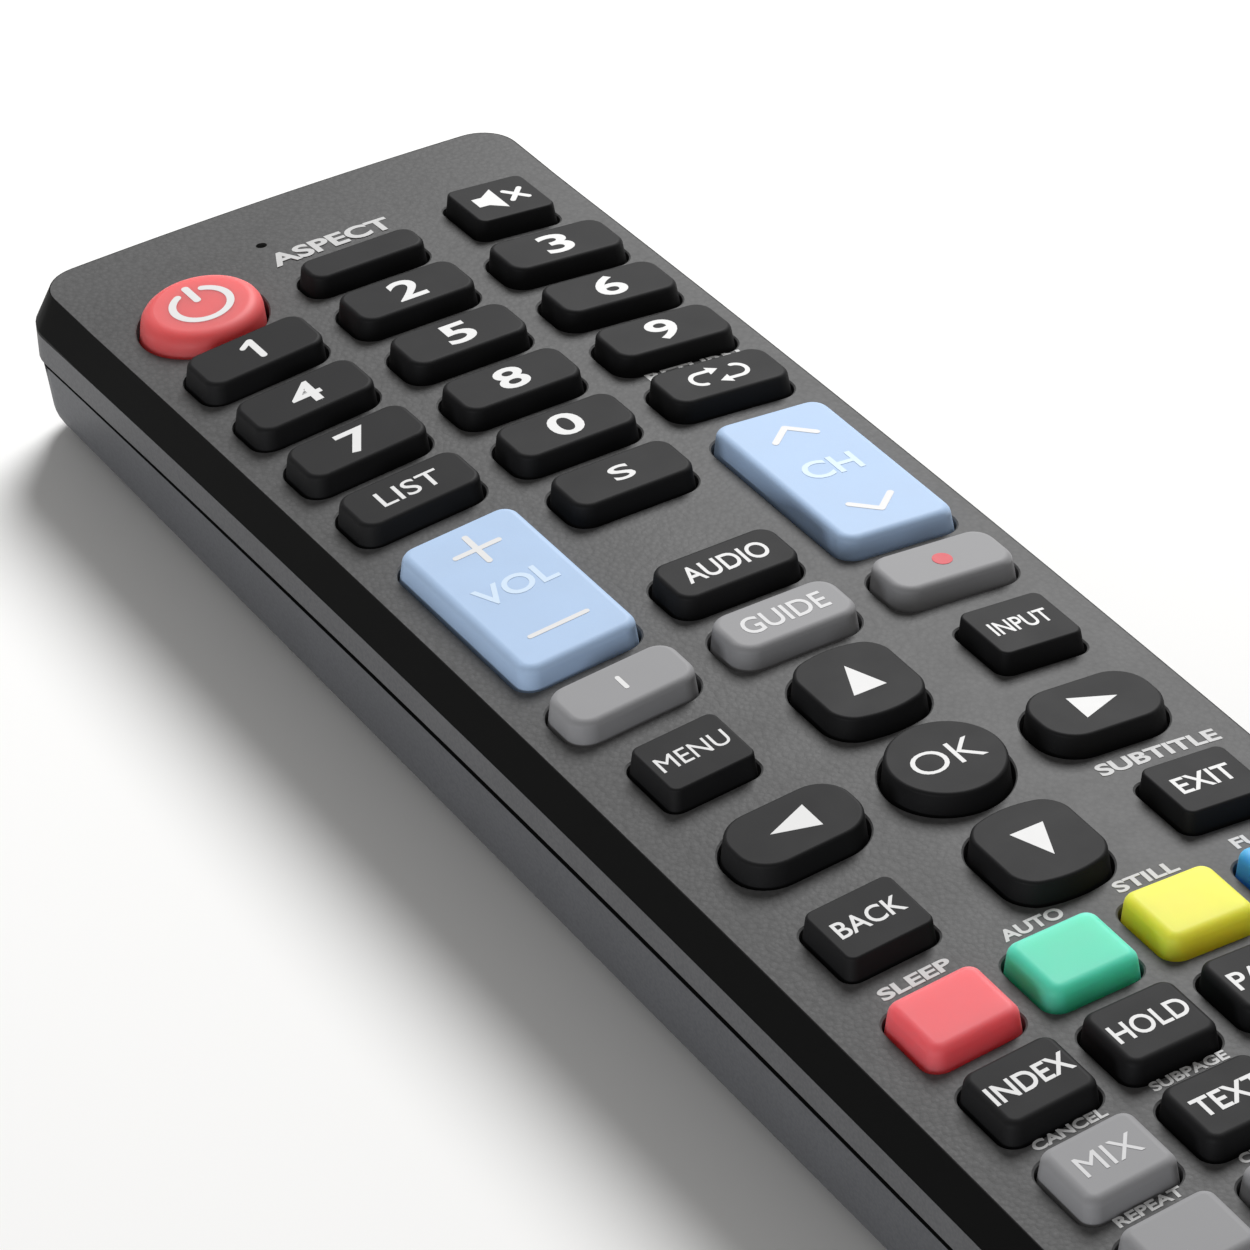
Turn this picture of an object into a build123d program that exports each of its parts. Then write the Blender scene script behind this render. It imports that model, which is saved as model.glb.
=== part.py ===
"""TV remote control: two moulded case halves, a black bevel frame, 47 keys, a board, two AAA cells
and a sliding battery cover. Millimetres, +Z up, +Y towards the infrared end.
The origin lies on the table, under the middle of the case."""
import os
from math import cos, pi, radians, sin, sqrt, tan

from build123d import *

# Case, seen from above and in section
case_length = 225.0
case_width = 50.0
corner_far = 5.0
corner_near = 8.0
face_height = 18.2       # top of the face at its highest point
band_height = 13.3       # lower edge of the black band
parting_height = 10.5    # where the two halves meet
arch_centre = 7.0        # the face is highest here, along Y
arch_radius = 2380.0
crown_radius = 179.0
skin = 1.6               # wall above the keypad
frame_width = 1.6        # black frame, from the outside of the case inwards
frame_drop = 3.1
frame_slope = 1.3
upper_wall = 3.0
lower_wall = 1.8
side_draft = 6.0
foot_radius = 3.6
lip_height = 1.5
lip_gap = 0.6
groove = 0.5             # shadow gap between the two halves
nose_start = 90.0        # the underside rises from here to the infrared end
nose_rise = 1.2

# Keys, measured from the middle of the OK key
ok_y = 0.9
key_height = 1.75
key_draft = 6.0
key_gap = 0.2            # round a key where it is widest inside its opening
key_lip = 0.5
lip_thickness = 0.5
key_rest_gap = 0.25
rocker_rest_gap = 0.9
key_travel = 0.9
stop_gap = 0.15
rocker_pivot = 14.0
foot_gap = 0.05
number_pitch_x = 15.0
number_pitch_y = 9.05
grid_pitch_x = 10.45
grid_pitch_y = 9.85
number_row = 84.4
grid_row = -24.6

# Key outlines: the size of the top, then the corner radius
shapes = {
    "number": (11.3, 5.7, 2.0),
    "slim": (11.2, 3.7, 1.5),
    "square": (7.6, 6.7, 0.8),
    "grid": (7.8, 6.8, 1.1),
    "rocker": (10.7, 20.9, 1.5),
    "side": (10.9, 6.9, 2.9),
    "bowed": (8.6, 9.7, 1.6),
    "power": (10.6, 10.6, 5.3),
    "ok": (9.6, 9.6, 4.8),
}
bow = 1.1                # bulge of the far and near ends of the up and down keys

# Board and rubber web
board_top = 11.1
board_thickness = 1.2
web_thickness = 0.5
board_near = -57.8
board_far = 107.5
web_gap = 0.4
post_places = [(sx * 19.6, y) for sx in (-1, 1) for y in (72.0, 12.0, -44.0)]
post_radius = 2.0
pin_radius = 0.9
lamp_place = (-5.0, 103.0)

# Battery bay
cell_radius = 5.25
cell_length = 44.5
cell_x = 5.7
cell_floor = 1.7
bay_half_width = 11.3
bay_far = -59.4
bay_wall = 1.2
bay_roof = 12.3
plate = 0.4
spring_length = 3.4
spring_wire = 0.25
spring_turns = 3
cover_half_width = 18.85
cover_far = -56.0
cover_thickness = 1.6
cover_gap = 0.15
rail = 0.8
screw_place = (15.6, -84.0)

window_half_width = 10.0
window_bottom, window_top = 4.2, 9.4
lens_wall = 1.5

cell_end = cell_length + 2 * plate + spring_length
bay_near = bay_far - cell_end
end_y = case_length / 2
seat = cover_thickness + cover_gap


def save(name, shape):
    """Writes one sub-part under its own name."""
    export_step(shape, f"parts/{name}.step")


def solids(shapes):
    """One compound of separate solids."""
    return Compound(children=list(shapes))


def block(x, y, z):
    """A box between two corners, given as pairs for each axis."""
    size = [b - a for a, b in (x, y, z)]
    return Pos(*[(a + b) / 2 for a, b in (x, y, z)]) * Box(*size)


def across(half_width, y, z):
    """A box that reaches equally far to both sides."""
    return block((-half_width, half_width), y, z)


def rod(x, y, radius, bottom, top):
    """An upright cylinder between two heights."""
    return Pos(x, y, (bottom + top) / 2) * Cylinder(radius, top - bottom)


def plan(inset):
    """The case outline from above, drawn in by an even inset."""
    outline = Rectangle(case_width - 2 * inset, case_length - 2 * inset)
    rows = outline.vertices().group_by(Axis.Y)
    outline = fillet(rows[-1], corner_far - inset)
    rows = outline.vertices().group_by(Axis.Y)
    return fillet(rows[0], corner_near - inset)


def under(height, crowned=False):
    """All that lies under the arched surface through a height; a crown also curves it across."""
    reach, depth = 0.6 * case_length, 2 * face_height
    drop = arch_radius - sqrt(arch_radius**2 - reach**2)
    near, far = (arch_centre - reach, height - drop), (arch_centre + reach, height - drop)
    top = ThreePointArc(near, (arch_centre, height), far)
    walls = Polyline(far, (far[0], height - depth), (near[0], height - depth), near)
    profile = Plane.YZ * make_face([top, *walls.edges()])
    if not crowned:
        return extrude(profile, case_width, both=True)
    axis = Axis((0, 0, height - crown_radius), (0, 1, 0))
    half_turn = 10
    return revolve(profile.rotate(axis, -half_turn), axis, 2 * half_turn)


def surface(x, y, height=face_height):
    """Height of the crowned face at one place."""
    along = crown_radius - arch_radius + sqrt(arch_radius**2 - (y - arch_centre) ** 2)
    return height - crown_radius + sqrt(along**2 - x**2)


def column(inset):
    """The case outline carried straight up past the face."""
    return extrude(plan(inset), 2 * face_height)


def key_rows():
    """Every key as name, shape, x and y."""
    keys = [("power_key", "power", -15.1, 94.1), ("aspect_key", "slim", 0, 92.4)]
    keys.append(("mute_key", "square", 15.1, 94.4))
    for n in range(9):
        row, col = divmod(n, 3)
        y = number_row - row * number_pitch_y
        keys.append((f"key_{n + 1}", "number", (col - 1) * number_pitch_x, y))
    last = number_row - 3 * number_pitch_y
    for col, name in enumerate(("list_key", "key_0", "return_key")):
        keys.append((name, "number", (col - 1) * number_pitch_x, last))
    keys += [("select_key", "number", 0, last - number_pitch_y), ("audio_key", "number", 0, 32.0)]
    keys += [("volume_rocker", "rocker", -15.0, 39.6), ("channel_rocker", "rocker", 15.0, 39.6)]
    for col, name in enumerate(("info_key", "guide_key", "record_key")):
        keys.append((name, "number", (col - 1) * number_pitch_x, 23.2))
    for y, left, middle, right in ((12.3, "menu", "up", "input"), (-12.6, "back", "down", "exit")):
        keys.append((f"{left}_key", "square", -15.2, y))
        keys.append((f"{middle}_key", "bowed", 0, y))
        keys.append((f"{right}_key", "square", 15.2, y))
    keys += [("left_key", "side", -13.8, 0), ("ok_key", "ok", 0, 0), ("right_key", "side", 13.8, 0)]
    grid = ["red green yellow blue", "index hold page reveal", "mix text size mode"]
    grid.append("grey_1 grey_2 grey_3 grey_4")
    for row, names in enumerate(grid):
        for col, name in enumerate(names.split()):
            keys.append((f"{name}_key", "grid", (col - 1.5) * grid_pitch_x, grid_row - row * grid_pitch_y))
    return [(name, shape, x, y + ok_y) for name, shape, x, y in keys]


def grown(shape, margin):
    """Width, depth and corner radius of a key's outline with an even margin round its top."""
    w, d, r = shapes[shape]
    return w + 2 * margin, d + 2 * margin, r + margin


def bowed_outline(margin):
    """Outline of the up and down keys, whose far and near ends bulge a little."""
    w, d, r = grown("bowed", margin)
    straight = d / 2 - bow
    far = ThreePointArc((-w / 2, straight), (0, d / 2), (w / 2, straight))
    near = ThreePointArc((w / 2, -straight), (0, -d / 2), (-w / 2, -straight))
    sides = [Line((w / 2, straight), (w / 2, -straight)), Line((-w / 2, -straight), (-w / 2, straight))]
    face = make_face([far, sides[0], near, sides[1]])
    return fillet(face.vertices(), r)


def cap(shape, x, y, low, high):
    """A key's tapered body between two heights. At the key's own top it has its nominal size."""
    r = shapes[shape][2]
    slope = tan(radians(key_draft))
    narrow = slope * (surface(x, y) + key_height - high)
    wide = narrow + slope * (high - low)
    middle = Pos(x, y, (low + high) / 2)
    if shape in ("power", "ok"):
        return middle * Cone(r + wide, r + narrow, high - low)
    if shape == "bowed":
        top = Pos(x, y, high) * bowed_outline(narrow)
        return extrude(top, high - low, dir=(0, 0, -1), taper=-key_draft)
    w, d, _ = grown(shape, wide)
    inset = wide - narrow
    body = middle * Rot(90, 0, 0) * Wedge(w, high - low, d, inset, inset, w - inset, d - inset)
    leaning = [edge for edge in body.edges() if edge.tangent_at(0.5).Z ** 2 > 0.5]
    return fillet(leaning, r)


def lip_level(shape, x, y):
    """Top of a key's retaining lip, below the lowest part of the skin over it."""
    w, d, _ = shapes[shape]
    reach = [(abs(x) + w / 2 + 1, y + s * (d / 2 + 1)) for s in (-1, 1)]
    gap = rocker_rest_gap if shape == "rocker" else key_rest_gap
    return min(surface(px, py, face_height - skin) for px, py in reach) - gap


def key(shape, x, y):
    """Tapered cap with a tilted top, a retaining lip under the skin and plungers over the board."""
    level = lip_level(shape, x, y)
    top = surface(x, y) + key_height
    slope = Vector(x / crown_radius, (y - arch_centre) / arch_radius, 1)
    tilted_top = Plane(origin=(x, y, top), z_dir=slope)
    body = split(cap(shape, x, y, level, top + 1), tilted_top, keep=Keep.BOTTOM)
    w, _, _ = grown(shape, tan(radians(key_draft)) * (top - level) + key_lip)
    lip_depth = 0.7 * shapes[shape][1]
    body += Pos(x, y, level - lip_thickness / 2) * Box(w, lip_depth, lip_thickness)
    foot = board_top + key_travel + stop_gap
    under_lip = level - lip_thickness
    for px, py, width, depth in plungers(shape, x, y):
        body += Pos(px, py, (foot + under_lip) / 2) * Box(width, depth, under_lip - foot)
    if shape == "rocker":
        body += rocking_foot(x, y, 0.4 * shapes[shape][0])
    return body


def plungers(shape, x, y):
    """Place and size of each plunger under a key: one, or one at each end of a rocker."""
    w, d, _ = shapes[shape]
    if shape != "rocker":
        return [(x, y, 0.55 * w, 0.6 * d)]
    return [(x, y + side * 0.28 * d, 0.55 * w, 0.2 * d) for side in (-1, 1)]


def rocking_foot(x, y, width):
    """Half-round foot about a rocker's own axis, which lets it tilt on the rubber web."""
    radius = rocker_pivot - board_top - web_thickness - foot_gap
    return Pos(x, y, rocker_pivot) * Rot(0, 90, 0) * Cylinder(radius, width)


def opening(shape, x, y):
    """The straight hole that a key moves in. Its corners are cut off, just clear of the key's."""
    w, d, r = grown(shape, tan(radians(key_draft)) * (key_height + skin) + key_gap)
    place, depth = Pos(x, y, surface(x, y)), 4 * skin
    if shape in ("power", "ok"):
        return place * extrude(RegularPolygon(r, 20, major_radius=False), depth / 2, both=True)
    hole = place * Box(w, d, depth)
    return chamfer(hole.edges().filter_by(Axis.Z), (2 - sqrt(2)) * shapes[shape][2])


def upper_case(keys):
    """Top half: crowned face with key openings, a shoulder for the frame and a locating lip."""
    strip = column(0) & under(band_height)
    face = column(frame_width) & under(face_height, crowned=True)
    shell = (strip + face) - under(parting_height)
    shell -= column(upper_wall) & under(face_height - skin, crowned=True)
    lip = (column(lower_wall + lip_gap) - column(upper_wall)) & under(parting_height)
    shell += lip - under(parting_height - lip_height)
    openings = [opening(shape, x, y) for _, shape, x, y in keys]
    lamp = Pos(lamp_place[0], lamp_place[1], face_height) * Cylinder(0.5, 8)
    boss_top = surface(screw_place[0] + 3, screw_place[1], face_height - skin) + 0.5
    for x in (-screw_place[0], screw_place[0]):
        shell += rod(x, screw_place[1], 2.6, 6, boss_top)
        openings.append(rod(x, screw_place[1], 1.0, 5, 13))
    return shell - openings - lamp - window_block(0.1)


def bevel_frame():
    """Black frame round the face, with a steep bevel down to the grey strip."""
    body = column(0) & under(face_height, crowned=True)
    face = body.faces().sort_by(Axis.Z)[-1]
    body = chamfer(face.edges(), frame_drop, frame_slope, reference=face)
    return body - under(band_height) - column(frame_width)


def window_block(margin):
    """The space that the infrared window takes in the end wall."""
    x = window_half_width + margin
    return block((-x, x), (end_y - 8, end_y + 1), (window_bottom - margin, window_top + margin))


def lower_outside():
    """Outer form of the lower half: drafted sides, rounded foot and a nose that rises."""
    rim = Plane.XY.offset(parting_height) * plan(0)
    body = extrude(rim, parting_height, dir=(0, 0, -1), taper=side_draft)
    foot = body.faces().sort_by(Axis.Z)[0]
    body = fillet(foot.edges(), foot_radius)
    corners = [(nose_start, 0), (end_y, nose_rise), (end_y + 1, nose_rise), (end_y + 1, -1), (nose_start, -1)]
    wedge = make_face(Polyline(*corners, close=True))
    return body - extrude(Plane.YZ * wedge, case_width, both=True)


def lower_case(outside):
    """Bottom half: cavity, battery bay, posts for the board and the seat of the battery cover."""
    inner = Plane.XY.offset(parting_height + 1) * plan(lower_wall)
    cavity = extrude(inner, parting_height + 1 - lower_wall, dir=(0, 0, -1), taper=side_draft)
    shell = outside & under(parting_height)
    rim = (column(0) - column(groove)) & under(parting_height + 1)
    shell -= rim - under(parting_height - groove)
    shell = cover_seat(battery_bay(shell - cavity, outside))
    for side in (-1, 1):
        shell = screw_seat(shell, side * screw_place[0], screw_place[1])
    for x, y in post_places:
        shell += rod(x, y, post_radius, 1, board_bottom())
        shell += rod(x, y, pin_radius, board_bottom() - 1, board_top + 0.1)
    return shell - window_block(0.1)


def battery_bay(shell, outside):
    """Adds the walled bay for the two cells, the seat round it, and a slot for each plate's tab."""
    walls = (bay_near - bay_wall, bay_far + bay_wall)
    shell += across(bay_half_width + bay_wall, walls, (seat, bay_roof + 0.8))
    shell += across(cover_half_width + 2, (3.5 - end_y, cover_far + 1.5), (seat, seat + 1.4)) & outside
    shell -= across(bay_half_width, (bay_near, bay_far), (0, bay_roof))
    for x in (-cell_x, cell_x):
        slot = (board_bottom() - 0.6, board_bottom() + 0.2)
        shell -= block((x - 1.2, x + 1.2), (bay_far - 1, bay_far + bay_wall + 1), slot)
    return shell


def cover_seat(shell):
    """Cuts the recess that the battery cover slides in, with a groove for its rails at each side."""
    length = (-end_y - 1, cover_far)
    shell -= across(cover_half_width, length, (-1, seat))
    grooves = (cover_thickness - rail - cover_gap, seat)
    return shell - across(cover_half_width + rail + cover_gap, length, grooves)


def screw_seat(shell, x, y):
    """Adds a boss with a recess for the screw's head and a clear hole for its shank."""
    shell += rod(x, y, 3.2, seat, 5.9)
    shell -= rod(x, y, 1.35, -1, 7)
    return shell - rod(x, y, 2.4, seat - 0.01, 3.6)


def board_bottom():
    """Height of the board's underside."""
    return board_top - board_thickness


def battery_cover(outside):
    """Flush sliding cover with side rails and a ribbed thumb grip."""
    x = cover_half_width - cover_gap
    slab = block((-x, x), (-end_y - 1, cover_far - cover_gap), (-1, cover_thickness))
    rails = []
    for side in (-1, 1):
        inner, outer = side * (x - 0.5), side * (x + rail)
        for y in (-62.0, -80.0, -98.0):
            length = (y - 5, y + 3)
            rails.append(block(sorted((inner, outer)), length, (cover_thickness - rail, cover_thickness)))
    cover = (outside & slab) + rails
    for n in range(6):
        y = cover_far - 4 - n * 1.8
        cover -= block((-7 + n, 7 - n), (y - 0.9, y), (-0.5, 0.45))
    return cover


def keypad_web(keys):
    """Rubber sheet on the board, with a clear opening under every key's plunger."""
    half = case_width / 2 - upper_wall - 0.5
    sheet = block((-half, half), (board_near, board_far - 6), (board_top, board_top + web_thickness))
    for _, shape, x, y in keys:
        for px, py, width, depth in plungers(shape, x, y):
            sheet -= Pos(px, py, board_top) * Box(width + 2 * web_gap, depth + 2 * web_gap, 4)
    for x, y in post_places:
        sheet -= Pos(x, y, board_top) * Cylinder(post_radius, 4)
    return sheet - Pos(*lamp_place, board_top) * Cylinder(2.2, 4)


def circuit_board():
    """Board with pin holes, a notch at each side, and the epoxy cap over the chip below."""
    half = case_width / 2 - upper_wall - 0.4
    board = block((-half, half), (board_near, board_far), (board_bottom(), board_top))
    for x, y in post_places:
        board -= Pos(x, y, board_top) * Cylinder(pin_radius + 0.1, 4)
    for side in (-1, 1):
        board -= Pos(side * half, -20.0, board_top) * Cylinder(2.0, 4)
    return board + rod(4.0, 30.0, 4.6, board_bottom() - 1.4, board_bottom())


def infrared_led():
    """Five millimetre lamp behind the window, with two legs bent up to the board."""
    z, face = 6.4, end_y - lens_wall - 1.2
    body = Pos(0, face - 5.5, z) * Rot(-90, 0, 0) * extrude(Circle(2.5), 5.5)
    rim = Pos(0, face - 6.4, z) * Rot(-90, 0, 0) * extrude(Circle(2.9), 1.0)
    lamp = chamfer(body.edges().sort_by(Axis.Y)[-1], 0.9) + rim
    for x in (-1.27, 1.27):
        lamp += block((x - 0.25, x + 0.25), (face - 9.5, face - 6.0), (z - 0.25, z + 0.25))
        lamp += block((x - 0.25, x + 0.25), (face - 10, face - 9.5), (z - 0.25, board_bottom()))
    return lamp


def infrared_window(outside):
    """Dark window that follows the end wall."""
    body = (outside + (column(0) - under(parting_height - 4))) & window_block(0)
    inside = (end_y - 9, end_y - lens_wall - 0.8)
    return body - across(window_half_width, inside, (0, face_height))


def aaa_cell(x, towards_far):
    """One cell: can, and the small positive cap at one end."""
    can, tip = cell_length - 1.0, 1.0
    z = cell_floor + cell_radius
    start = bay_far - plate - cell_length if towards_far else bay_far - plate - spring_length
    turn = Rot(-90, 0, 0) if towards_far else Rot(90, 0, 0)
    body = extrude(Circle(cell_radius), can) + Pos(0, 0, can) * extrude(Circle(1.9), tip)
    return Pos(x, start, z) * turn * body


def spring_point(turn):
    """Centre line of a contact spring that narrows towards the cell, with its direction."""
    wide, narrow = 3.7, 2.5
    share = turn / spring_turns
    r = wide + (narrow - wide) * share
    rise = (spring_length - 2 * spring_wire) * share + spring_wire
    a = 2 * pi * turn
    dr, dz = (narrow - wide) / spring_turns, (spring_length - 2 * spring_wire) / spring_turns
    place = Vector(r * cos(a), r * sin(a), rise)
    along = Vector(dr * cos(a) - 2 * pi * r * sin(a), dr * sin(a) + 2 * pi * r * cos(a), dz)
    return place, along.normalized()


def biarc(start, start_dir, end, end_dir):
    """Two arcs that meet smoothly between two places with given directions."""
    gap, total = end - start, start_dir + end_dir
    bend = 2 * (1 - start_dir.dot(end_dir))
    reach = (-gap.dot(total) + sqrt(gap.dot(total) ** 2 + bend * gap.dot(gap))) / bend
    middle = (start + end + (start_dir - end_dir) * reach) * 0.5
    first = TangentArc(start, middle, tangent=start_dir)
    return [first, TangentArc(middle, end, tangent=first % 1)]


def spring(x, y, turn):
    """A coiled contact spring standing on a plate."""
    arcs = []
    for n in range(2 * spring_turns):
        arcs += biarc(*spring_point(n / 2), *spring_point((n + 1) / 2))
    path = Wire([arc.edge() for arc in arcs])
    wire = sweep(Plane(origin=path @ 0, z_dir=path % 0) * RegularPolygon(spring_wire, 6), path=path)
    return Pos(x, y, cell_floor + cell_radius) * turn * wire


def spring_clearance():
    """Least gap between neighbouring turns, found on points along the centre line."""
    steps = 24
    places = [spring_point(n / steps)[0] for n in range(steps * spring_turns + 1)]
    gaps = [(a - b).length for n, a in enumerate(places) for b in places[n + steps // 2:]]
    return min(gaps) - 2 * spring_wire


def contact_plates():
    """Two plates with tabs to the board at the far end, and one bridge at the near end."""
    z = cell_floor + cell_radius
    plates = []
    for side in (-1, 1):
        x = side * cell_x
        panel = block((x - 4.4, x + 4.4), (bay_far - plate, bay_far), (z - 4.2, z + 4.2))
        tab = block((x - 1, x + 1), (bay_far - plate, bay_far + 4), (board_bottom() - plate, board_bottom()))
        plates.append(panel + tab)
    reach = cell_x + 4.6
    plates.append(block((-reach, reach), (bay_near, bay_near + plate), (z - 4.2, z + 4.2)))
    return solids(plates)


def case_screw(x):
    """Pan head screw from the cover seat up into the upper half."""
    head = Pos(0, 0, 2.2) * Cylinder(2.1, 1.3, align=(Align.CENTER, Align.CENTER, Align.MIN))
    shank = Pos(0, 0, 3.5) * Cylinder(0.95, 8.0, align=(Align.CENTER, Align.CENTER, Align.MIN))
    cross = Box(2.4, 0.5, 1.4) + Box(0.5, 2.4, 1.4)
    return Pos(x, screw_place[1], 0) * (head + shank - Pos(0, 0, 2.2) * cross)


def indicator_lamp():
    """Small lamp on the board, under the pin hole in the face."""
    return Pos(*lamp_place, board_top) * Cylinder(1.5, 2.2, align=(Align.CENTER, Align.CENTER, Align.MIN))


os.makedirs("parts", exist_ok=True)
all_keys = key_rows()
outer = lower_outside()

save("upper_case", upper_case(all_keys))
save("bevel_frame", bevel_frame())
save("lower_case", lower_case(outer))
save("battery_cover", battery_cover(outer))
save("keypad_web", keypad_web(all_keys))
save("circuit_board", circuit_board())
save("infrared_led", infrared_led())
save("infrared_window", infrared_window(outer))
save("indicator_lamp", indicator_lamp())
save("aaa_cells", solids([aaa_cell(-cell_x, False), aaa_cell(cell_x, True)]))
far_spring = spring(-cell_x, bay_far - plate, Rot(90, 0, 0))
near_spring = spring(cell_x, bay_near + plate, Rot(-90, 0, 0))
save("battery_springs", solids([far_spring, near_spring]))
save("contact_plates", contact_plates())
save("case_screws", solids([case_screw(side * screw_place[0]) for side in (-1, 1)]))
for name, shape, x, y in all_keys:
    save(name, key(shape, x, y))
print("spring clearance", round(spring_clearance(), 2))
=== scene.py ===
"""TV remote control on a pale table: moulded case, black frame, 47 keys with their signs, and the battery bay.
Lengths are in metres, +Z up, +Y towards the infrared end."""

from contextlib import contextmanager
from math import atan2, cos, hypot, pi, radians, sin, sqrt, tan

import bmesh
import bpy
from mathutils import Matrix, Vector


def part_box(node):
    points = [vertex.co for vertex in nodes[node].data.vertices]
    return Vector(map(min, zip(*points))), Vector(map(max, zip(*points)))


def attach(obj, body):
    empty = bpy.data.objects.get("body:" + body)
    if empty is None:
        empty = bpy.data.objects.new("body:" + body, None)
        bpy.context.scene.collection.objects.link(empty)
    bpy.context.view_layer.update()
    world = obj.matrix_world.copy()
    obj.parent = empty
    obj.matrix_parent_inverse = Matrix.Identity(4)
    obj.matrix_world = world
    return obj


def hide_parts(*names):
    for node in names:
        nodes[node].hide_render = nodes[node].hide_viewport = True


mm = 0.001

# The case, as in its own drawing
case_length = 225 * mm
case_width = 50 * mm
corner_far = 5 * mm
corner_near = 8 * mm
face_height = 18.2 * mm
band_height = 13.3 * mm
parting_height = 10.5 * mm
arch_centre = 7.0 * mm
arch_radius = 2380 * mm
crown_radius = 179 * mm
skin = 1.6 * mm
frame_width = 1.6 * mm
frame_drop = 3.1 * mm
frame_slope = 1.5 * mm
frame_rim = 0.2 * mm
frame_rounding = 0.3 * mm
upper_wall = 3.0 * mm
pin_hole = (-5.0 * mm, 103.0 * mm)
pin_hole_radius = 0.5 * mm

# Near the far end the face loses this share of its crown, towards its height at the level side
crown_fade = 0.7
fade_start = 99 * mm
fade_length = 12 * mm
level_side = 20 * mm

# The shadow groove: how far it reaches below and above the parting, and inwards
groove_below = 0.56 * mm
groove_above = 0.12 * mm
groove_depth = 1.2 * mm

# Steps at which the case's pieces are sliced to bend, and the closer cuts where the crown fades
step_along = 8 * mm
steps_each_way = 13
step_across = 2.7 * mm
steps_each_side = 8
far_cuts = (100 * mm, 102 * mm, 106 * mm, 108 * mm, 110 * mm)

# The battery bay
cell_radius = 5.25 * mm
cell_can = 43.5 * mm
cell_axis = 6.95 * mm
cell_side = 5.7 * mm
cell_bare_end = 0.7 * mm
cell_band_length = 9 * mm
cell_rim_width = 0.8 * mm
cell_rim_depth = 0.25 * mm
cell_cap_inset = 2.55 * mm
cell_cap_height = 1.25 * mm
spring_length = 3.4 * mm
spring_wire = 0.25 * mm
spring_turns = 3
spring_steps = 32
spring_wide = 3.7 * mm
spring_narrow = 2.5 * mm
far_plate = -59.8 * mm
near_plate = -107.7 * mm

# The keys
key_height = 1.75 * mm
key_draft = radians(6)
key_depth = 4.2 * mm
key_gap = 0.55 * mm
plunger_step = 0.2 * mm
plunger_length = 1.2 * mm
plunger_share = (0.5, 0.55, 1)
opening_depth = 6 * mm
bow = 1.1 * mm

# The signs on the keys and the print on the face
sign_thickness = 0.04 * mm
sign_lift = 0.012 * mm
capital_share = 0.72  # height of a capital as a share of the font's size
print_weight = 0.045  # widening of the print's strokes as a share of its height

hair = 0.01 * mm  # less than any step in a shape
crease_angle = radians(28)  # edges that turn by more stay sharp

# Key outlines by kind: width, depth, corner radius, rounding of the top edge
outlines = {
    "number": (11.3, 5.7, 1.5, 0.4),
    "soft": (11.3, 5.7, 1.8, 0.6),
    "slim": (11.2, 3.7, 1.3, 0.4),
    "square": (7.6, 6.7, 0.8, 0.22),
    "grid": (7.8, 6.8, 1.1, 0.55),
    "cushion": (7.8, 6.8, 1.1, 0.75),
    "rocker": (10.7, 20.9, 1.5, 0.7),
    "side": (10.9, 6.9, 2.9, 0.3),
    "bowed": (8.6, 9.7, 1.6, 0.3),
    "power": (10.6, 10.6, 5.3, 1.2),
    "ok": (9.6, 9.6, 4.8, 0.3),
}

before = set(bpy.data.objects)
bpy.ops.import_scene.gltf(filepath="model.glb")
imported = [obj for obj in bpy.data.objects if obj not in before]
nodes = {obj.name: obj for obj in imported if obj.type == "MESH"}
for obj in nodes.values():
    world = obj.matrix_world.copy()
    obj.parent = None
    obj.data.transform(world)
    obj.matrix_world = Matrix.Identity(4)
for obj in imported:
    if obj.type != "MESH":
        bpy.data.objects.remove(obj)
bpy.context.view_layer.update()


def clear_selection():
    """Leaves nothing selected, because operators act on all that is."""
    if bpy.context.object and bpy.context.object.mode != "OBJECT":
        bpy.ops.object.mode_set(mode="OBJECT")
    bpy.ops.object.select_all(action="DESELECT")


def take(piece):
    """Selects one piece alone and makes it active."""
    clear_selection()
    piece.select_set(True)
    bpy.context.view_layer.objects.active = piece


@contextmanager
def shaping(piece):
    """Edit mode on one piece, with nothing selected at the start."""
    take(piece)
    bpy.ops.object.mode_set(mode="EDIT")
    bpy.ops.mesh.select_all(action="DESELECT")
    yield
    bpy.ops.object.mode_set(mode="OBJECT")


def pick(piece, kind, test):
    """In edit mode, selects just the faces or edges that pass a test."""
    bpy.ops.mesh.select_mode(type=kind)
    bpy.ops.mesh.select_all(action="DESELECT")
    mesh = bmesh.from_edit_mesh(piece.data)
    mesh.normal_update()
    for part in {"FACE": mesh.faces, "EDGE": mesh.edges}[kind]:
        if test(part):
            part.select_set(True)
    mesh.select_flush_mode()
    bmesh.update_edit_mesh(piece.data)


def slice_at(place, way):
    """In edit mode, cuts new edges through the whole piece along one plane."""
    bpy.ops.mesh.select_all(action="SELECT")
    bpy.ops.mesh.bisect(plane_co=place, plane_no=way)


def draw_out(height):
    """In edit mode, draws the selected faces upwards or downwards, with new sides."""
    bpy.ops.mesh.extrude_region_move(TRANSFORM_OT_translate={"value": (0, 0, height)})


def modify(piece, kind, **settings):
    """Adds one modifier and applies it."""
    take(piece)
    modifier = piece.modifiers.new(kind.lower(), kind)
    for name, value in settings.items():
        setattr(modifier, name, value)
    bpy.ops.object.modifier_apply(modifier=modifier.name)


def add_object(name, data):
    """Puts a new object in the scene."""
    made = bpy.data.objects.new(name, data)
    bpy.context.scene.collection.objects.link(made)
    return made


def settle(piece):
    """Moves a piece's place, turn and size into its mesh."""
    take(piece)
    bpy.ops.object.transform_apply(location=True, rotation=True, scale=True)
    return piece


def cut(piece, tool, operation="DIFFERENCE"):
    """Cuts or joins one piece with another, which is then removed."""
    modify(piece, "BOOLEAN", object=tool, operation=operation, solver="EXACT")
    bpy.data.objects.remove(tool)


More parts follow.
